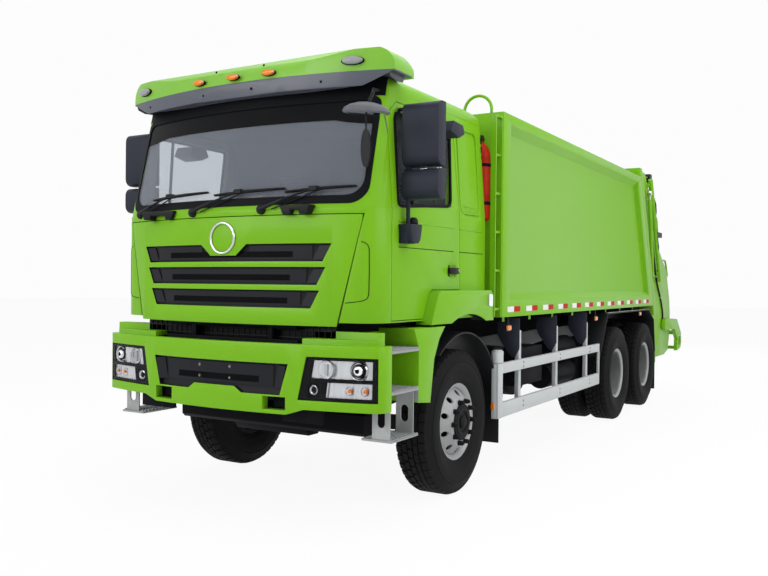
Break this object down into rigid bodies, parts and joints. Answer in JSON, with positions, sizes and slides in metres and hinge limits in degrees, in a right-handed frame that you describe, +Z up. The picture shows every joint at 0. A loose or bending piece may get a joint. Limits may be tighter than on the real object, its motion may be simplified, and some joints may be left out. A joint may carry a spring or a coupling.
{
  "type": "garbage truck",
  "caption": "Three-axle cab-over refuse truck with compaction container, top-hinged tailgate, packer, bin lifter, tilting cab, doors and steered wheels.",
  "frame": {"origin": "on the ground, under the middle of the overall length and width", "axes": "+X to the vehicle's left, +Y rearwards, +Z up; the front of the cab faces -Y"},
  "size_m": [2.91, 9.8, 3.248],
  "materials": {
    "green_paint": "gloss",
    "frame_paint": "satin",
    "cast_parts": "satin",
    "guard_grey": "satin",
    "dark_plastic": "matte",
    "lamp_lens": "gloss",
    "glass": "gloss",
    "seat_cloth": "matte",
    "mirror_shell": "gloss",
    "wheel": "matte",
    "chrome_rod": "polished",
    "bare_steel": "satin"
  },
  "bodies": {
    "chassis": {"chassis_frame": "frame_paint", "engine_block": "cast_parts", "axles": "cast_parts", "leaf_springs": "frame_paint", "front_bumper": "green_paint", "front_lamps": "lamp_lens", "cab_steps": "green_paint", "mudguards": "dark_plastic", "side_guards": "guard_grey", "side_tanks": "frame_paint", "silencer": "bare_steel", "container_floor": "frame_paint", "container_sides": "green_paint", "container_roof": "green_paint", "container_front_wall": "green_paint", "container_rear_frame": "green_paint", "ladder": "green_paint"},
    "cab": {"cab_shell": "green_paint", "cab_roof": "green_paint", "roof_visor": "green_paint", "windscreen": "glass", "seats": "seat_cloth", "dashboard": "dark_plastic"},
    "front_panel": {"front_panel": "green_paint"},
    "left_door": {"left_door": "green_paint", "left_door_window": "glass", "left_mirrors": "mirror_shell"},
    "right_door": {"right_door": "green_paint", "right_door_window": "glass", "right_mirrors": "mirror_shell"},
    "left_knuckle": {"left_knuckle": "cast_parts"},
    "right_knuckle": {"right_knuckle": "cast_parts"},
    "front_left_wheel": {"front_left_wheel": "wheel"},
    "front_right_wheel": {"front_right_wheel": "wheel"},
    "middle_left_wheel": {"middle_left_wheel": "wheel"},
    "middle_right_wheel": {"middle_right_wheel": "wheel"},
    "rear_left_wheel": {"rear_left_wheel": "wheel"},
    "rear_right_wheel": {"rear_right_wheel": "wheel"},
    "tailgate": {"tailgate": "green_paint"},
    "packer_carriage": {"packer_carriage": "green_paint"},
    "packer_blade": {"packer_blade": "bare_steel"},
    "bin_lifter": {"bin_lifter": "green_paint"},
    "lift_barrels": {"lift_barrels": "green_paint"},
    "lift_rods": {"lift_rods": "chrome_rod"},
    "ejector_plate": {"ejector_plate": "bare_steel"}
  },
  "joints": [
    {"name": "cab_tilt", "type": "hinge", "parent": "chassis", "child": "cab", "pos_m": [0, -4.675, 1.32], "axis": [1, 0, 0], "range_deg": [0, 50]},
    {"name": "front_panel_lift", "type": "hinge", "parent": "cab", "child": "front_panel", "pos_m": [0, -4.807, 2.15], "axis": [-1, 0, 0], "range_deg": [0, 75]},
    {"name": "left_door_swing", "type": "hinge", "parent": "cab", "child": "left_door", "pos_m": [1.16, -4.465, 2], "axis": [0, 0, -1], "range_deg": [0, 68]},
    {"name": "right_door_swing", "type": "hinge", "parent": "cab", "child": "right_door", "pos_m": [-1.16, -4.465, 2], "axis": [0, 0, 1], "range_deg": [0, 68]},
    {"name": "left_steer", "type": "hinge", "parent": "chassis", "child": "left_knuckle", "pos_m": [0.87, -3.375, 0.5625], "axis": [0, 0, 1], "range_deg": [-35, 35]},
    {"name": "right_steer", "type": "hinge", "parent": "chassis", "child": "right_knuckle", "pos_m": [-0.87, -3.375, 0.5625], "axis": [0, 0, 1], "range_deg": [-35, 35]},
    {"name": "front_left_roll", "type": "hinge", "parent": "left_knuckle", "child": "front_left_wheel", "pos_m": [1.018, -3.375, 0.5625], "axis": [1, 0, 0], "continuous": true},
    {"name": "front_right_roll", "type": "hinge", "parent": "right_knuckle", "child": "front_right_wheel", "pos_m": [-1.018, -3.375, 0.5625], "axis": [1, 0, 0], "continuous": true},
    {"name": "middle_left_roll", "type": "hinge", "parent": "chassis", "child": "middle_left_wheel", "pos_m": [0.93, 1, 0.5625], "axis": [1, 0, 0], "continuous": true},
    {"name": "middle_right_roll", "type": "hinge", "parent": "chassis", "child": "middle_right_wheel", "pos_m": [-0.93, 1, 0.5625], "axis": [1, 0, 0], "continuous": true},
    {"name": "rear_left_roll", "type": "hinge", "parent": "chassis", "child": "rear_left_wheel", "pos_m": [0.93, 2.4, 0.5625], "axis": [1, 0, 0], "continuous": true},
    {"name": "rear_right_roll", "type": "hinge", "parent": "chassis", "child": "rear_right_wheel", "pos_m": [-0.93, 2.4, 0.5625], "axis": [1, 0, 0], "continuous": true},
    {"name": "tailgate_open", "type": "hinge", "parent": "chassis", "child": "tailgate", "pos_m": [0, 2.19467, 3.14], "axis": [1, 0, 0], "range_deg": [0, 80]},
    {"name": "packer_slide", "type": "slide", "parent": "tailgate", "child": "packer_carriage", "axis": [0, -0.4226, 0.9063], "range_m": [0, 0.64]},
    {"name": "packer_swing", "type": "hinge", "parent": "packer_carriage", "child": "packer_blade", "pos_m": [0, 3.42553, 1.44974], "axis": [1, 0, 0], "range_deg": [0, 80]},
    {"name": "bin_lift", "type": "hinge", "parent": "tailgate", "child": "bin_lifter", "pos_m": [0, 3.72553, 1.05], "axis": [1, 0, 0], "range_deg": [0, 75]},
    {"name": "lift_cylinder_swing", "type": "hinge", "parent": "chassis", "child": "lift_barrels", "pos_m": [0, 2.85503, 1.77402], "axis": [1, 0, 0], "range_deg": [0, 1.15]},
    {"name": "lift_cylinder_stroke", "type": "slide", "parent": "lift_barrels", "child": "lift_rods", "axis": [0, -0.1841, 0.9829], "range_m": [0, 0.6506]},
    {"name": "ejector_slide", "type": "slide", "parent": "chassis", "child": "ejector_plate", "axis": [0, 1, 0], "range_m": [0, 4.2]}
  ],
  "couplings": [
    {"joint": "right_steer", "follows": "left_steer", "ratio": 1},
    {"joint": "lift_cylinder_swing", "follows": "tailgate_open", "ratio": 0.01411},
    {"joint": "lift_cylinder_stroke", "follows": "tailgate_open", "m_per_rad": 0.45683}
  ]
}
